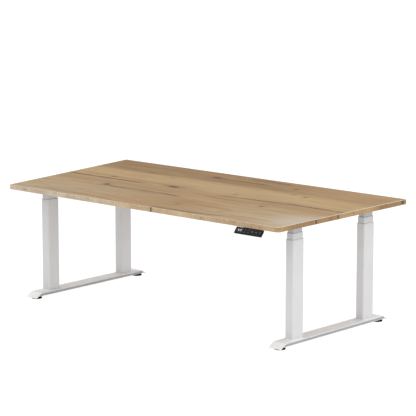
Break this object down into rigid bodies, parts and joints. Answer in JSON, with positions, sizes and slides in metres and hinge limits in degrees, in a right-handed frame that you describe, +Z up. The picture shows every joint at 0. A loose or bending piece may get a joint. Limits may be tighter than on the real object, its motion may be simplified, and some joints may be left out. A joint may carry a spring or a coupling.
{
  "type": "height adjustable standing desk",
  "caption": "Electric sit-stand desk: wide wood-pattern worktop on four telescopic square columns with two flat feet, levelling pads and a tilted handset.",
  "frame": {"origin": "middle of the desk's footprint box on the floor, at its lowest height", "axes": "+X along the worktop to the user's right, +Y to the rear, +Z up; the user sits on the -Y side"},
  "size_m": [1.9196, 1.023, 0.612],
  "materials": {
    "oak": "matt oak-pattern board with a fine edge band",
    "white_paint": "light grey-white powder coat, fine texture",
    "white_plastic": "light grey-white moulded plastic",
    "black_rubber": "matt black rubber",
    "black_plastic": "satin black moulded plastic",
    "black_gloss": "dark smooth plastic",
    "black_paint": "black powder coat",
    "dark_glass": "dark clear display window",
    "steel": "bright ground steel",
    "nylon": "natural nylon"
  },
  "bodies": {
    "left_base": {"left_foot_plate": "white_paint", "left_foot_channel": "white_paint", "left_front_outer_tube": "white_paint", "left_front_outer_collar": "white_plastic", "left_front_nut_post": "nylon", "left_rear_outer_tube": "white_paint", "left_rear_outer_collar": "white_plastic", "left_rear_nut_post": "nylon"},
    "left_middle": {"left_front_middle_tube": "white_paint", "left_front_middle_collar": "white_plastic", "left_rear_middle_tube": "white_paint", "left_rear_middle_collar": "white_plastic"},
    "top": {"tabletop": "oak", "left_side_rail": "black_paint", "right_side_rail": "black_paint", "front_crossbar": "black_paint", "rear_crossbar": "black_paint", "control_box": "black_plastic", "handset_housing": "black_plastic", "handset_face": "black_gloss", "handset_display": "dark_glass", "left_front_inner_tube": "white_paint", "left_front_gear_motor": "black_paint", "left_rear_inner_tube": "white_paint", "left_rear_gear_motor": "black_paint", "right_front_inner_tube": "white_paint", "right_front_gear_motor": "black_paint", "right_rear_inner_tube": "white_paint", "right_rear_gear_motor": "black_paint"},
    "right_middle": {"right_front_middle_tube": "white_paint", "right_front_middle_collar": "white_plastic", "right_rear_middle_tube": "white_paint", "right_rear_middle_collar": "white_plastic"},
    "right_base": {"right_foot_plate": "white_paint", "right_foot_channel": "white_paint", "right_front_outer_tube": "white_paint", "right_front_outer_collar": "white_plastic", "right_front_nut_post": "nylon", "right_rear_outer_tube": "white_paint", "right_rear_outer_collar": "white_plastic", "right_rear_nut_post": "nylon"},
    "left_front_pad": {"left_front_levelling_pad": "black_rubber"},
    "left_front_drive": {"left_front_drive_spindle": "steel"},
    "left_front_hollow": {"left_front_hollow_spindle": "steel"},
    "left_rear_pad": {"left_rear_levelling_pad": "black_rubber"},
    "left_rear_drive": {"left_rear_drive_spindle": "steel"},
    "left_rear_hollow": {"left_rear_hollow_spindle": "steel"},
    "right_front_pad": {"right_front_levelling_pad": "black_rubber"},
    "right_front_drive": {"right_front_drive_spindle": "steel"},
    "right_front_hollow": {"right_front_hollow_spindle": "steel"},
    "right_rear_pad": {"right_rear_levelling_pad": "black_rubber"},
    "right_rear_drive": {"right_rear_drive_spindle": "steel"},
    "right_rear_hollow": {"right_rear_hollow_spindle": "steel"},
    "button_preset_1": {"key_preset_1": "black_gloss"},
    "button_preset_2": {"key_preset_2": "black_gloss"},
    "button_preset_3": {"key_preset_3": "black_gloss"},
    "button_preset_4": {"key_preset_4": "black_gloss"},
    "button_menu": {"key_menu": "black_gloss"},
    "button_up": {"key_up": "black_gloss"},
    "button_down": {"key_down": "black_gloss"}
  },
  "joints": [
    {"name": "left_lower_lift", "type": "slide", "parent": "left_base", "child": "left_middle", "axis": [0, 0, 1], "range_m": [0, 0.32]},
    {"name": "left_upper_lift", "type": "slide", "parent": "left_middle", "child": "top", "axis": [0, 0, 1], "range_m": [0, 0.32]},
    {"name": "right_upper_lift", "type": "slide", "parent": "top", "child": "right_middle", "axis": [0, 0, 1], "range_m": [-0.32, 0]},
    {"name": "right_lower_lift", "type": "slide", "parent": "right_middle", "child": "right_base", "axis": [0, 0, 1], "range_m": [-0.32, 0]},
    {"name": "left_front_drive_turn", "type": "hinge", "parent": "top", "child": "left_front_drive", "pos_m": [-0.77318, -0.2645, 0.5], "axis": [0, 0, 1], "range_deg": [0, 28800]},
    {"name": "left_front_hollow_turn", "type": "hinge", "parent": "left_middle", "child": "left_front_hollow", "pos_m": [-0.77318, -0.2645, 0.24], "axis": [0, 0, 1], "range_deg": [0, 14400]},
    {"name": "left_rear_drive_turn", "type": "hinge", "parent": "top", "child": "left_rear_drive", "pos_m": [-0.77318, 0.2875, 0.5], "axis": [0, 0, 1], "range_deg": [0, 28800]},
    {"name": "left_rear_hollow_turn", "type": "hinge", "parent": "left_middle", "child": "left_rear_hollow", "pos_m": [-0.77318, 0.2875, 0.24], "axis": [0, 0, 1], "range_deg": [0, 14400]},
    {"name": "right_front_drive_turn", "type": "hinge", "parent": "top", "child": "right_front_drive", "pos_m": [0.87682, -0.2645, 0.5], "axis": [0, 0, 1], "range_deg": [0, 28800]},
    {"name": "right_front_hollow_turn", "type": "hinge", "parent": "right_middle", "child": "right_front_hollow", "pos_m": [0.87682, -0.2645, 0.24], "axis": [0, 0, 1], "range_deg": [0, 14400]},
    {"name": "right_rear_drive_turn", "type": "hinge", "parent": "top", "child": "right_rear_drive", "pos_m": [0.87682, 0.2875, 0.5], "axis": [0, 0, 1], "range_deg": [0, 28800]},
    {"name": "right_rear_hollow_turn", "type": "hinge", "parent": "right_middle", "child": "right_rear_hollow", "pos_m": [0.87682, 0.2875, 0.24], "axis": [0, 0, 1], "range_deg": [0, 14400]},
    {"name": "left_front_pad_screw", "type": "slide", "parent": "left_base", "child": "left_front_pad", "axis": [0, 0, -1], "range_m": [0, 0.008]},
    {"name": "left_rear_pad_screw", "type": "slide", "parent": "left_base", "child": "left_rear_pad", "axis": [0, 0, -1], "range_m": [0, 0.008]},
    {"name": "right_front_pad_screw", "type": "slide", "parent": "right_base", "child": "right_front_pad", "axis": [0, 0, -1], "range_m": [0, 0.008]},
    {"name": "right_rear_pad_screw", "type": "slide", "parent": "right_base", "child": "right_rear_pad", "axis": [0, 0, -1], "range_m": [0, 0.008]},
    {"name": "key_preset_1_press", "type": "slide", "parent": "top", "child": "button_preset_1", "axis": [0, 0.7612, -0.6485], "range_m": [0, 0.0006], "stiffness_N_per_m": 3000},
    {"name": "key_preset_2_press", "type": "slide", "parent": "top", "child": "button_preset_2", "axis": [0, 0.7612, -0.6485], "range_m": [0, 0.0006], "stiffness_N_per_m": 3000},
    {"name": "key_preset_3_press", "type": "slide", "parent": "top", "child": "button_preset_3", "axis": [0, 0.7612, -0.6485], "range_m": [0, 0.0006], "stiffness_N_per_m": 3000},
    {"name": "key_preset_4_press", "type": "slide", "parent": "top", "child": "button_preset_4", "axis": [0, 0.7612, -0.6485], "range_m": [0, 0.0006], "stiffness_N_per_m": 3000},
    {"name": "key_menu_press", "type": "slide", "parent": "top", "child": "button_menu", "axis": [0, 0.7612, -0.6485], "range_m": [0, 0.0006], "stiffness_N_per_m": 3000},
    {"name": "key_up_press", "type": "slide", "parent": "top", "child": "button_up", "axis": [0, 0.7612, -0.6485], "range_m": [0, 0.0006], "stiffness_N_per_m": 3000},
    {"name": "key_down_press", "type": "slide", "parent": "top", "child": "button_down", "axis": [0, 0.7612, -0.6485], "range_m": [0, 0.0006], "stiffness_N_per_m": 3000}
  ],
  "couplings": [
    {"joint": "left_upper_lift", "follows": "left_lower_lift", "ratio": 1},
    {"joint": "right_upper_lift", "follows": "left_lower_lift", "ratio": -1},
    {"joint": "right_lower_lift", "follows": "left_lower_lift", "ratio": -1},
    {"joint": "left_front_drive_turn", "follows": "left_lower_lift", "rad_per_m": 1570.8},
    {"joint": "left_front_hollow_turn", "follows": "left_lower_lift", "rad_per_m": 785.4},
    {"joint": "left_rear_drive_turn", "follows": "left_lower_lift", "rad_per_m": 1570.8},
    {"joint": "left_rear_hollow_turn", "follows": "left_lower_lift", "rad_per_m": 785.4},
    {"joint": "right_front_drive_turn", "follows": "left_lower_lift", "rad_per_m": 1570.8},
    {"joint": "right_front_hollow_turn", "follows": "left_lower_lift", "rad_per_m": 785.4},
    {"joint": "right_rear_drive_turn", "follows": "left_lower_lift", "rad_per_m": 1570.8},
    {"joint": "right_rear_hollow_turn", "follows": "left_lower_lift", "rad_per_m": 785.4}
  ]
}
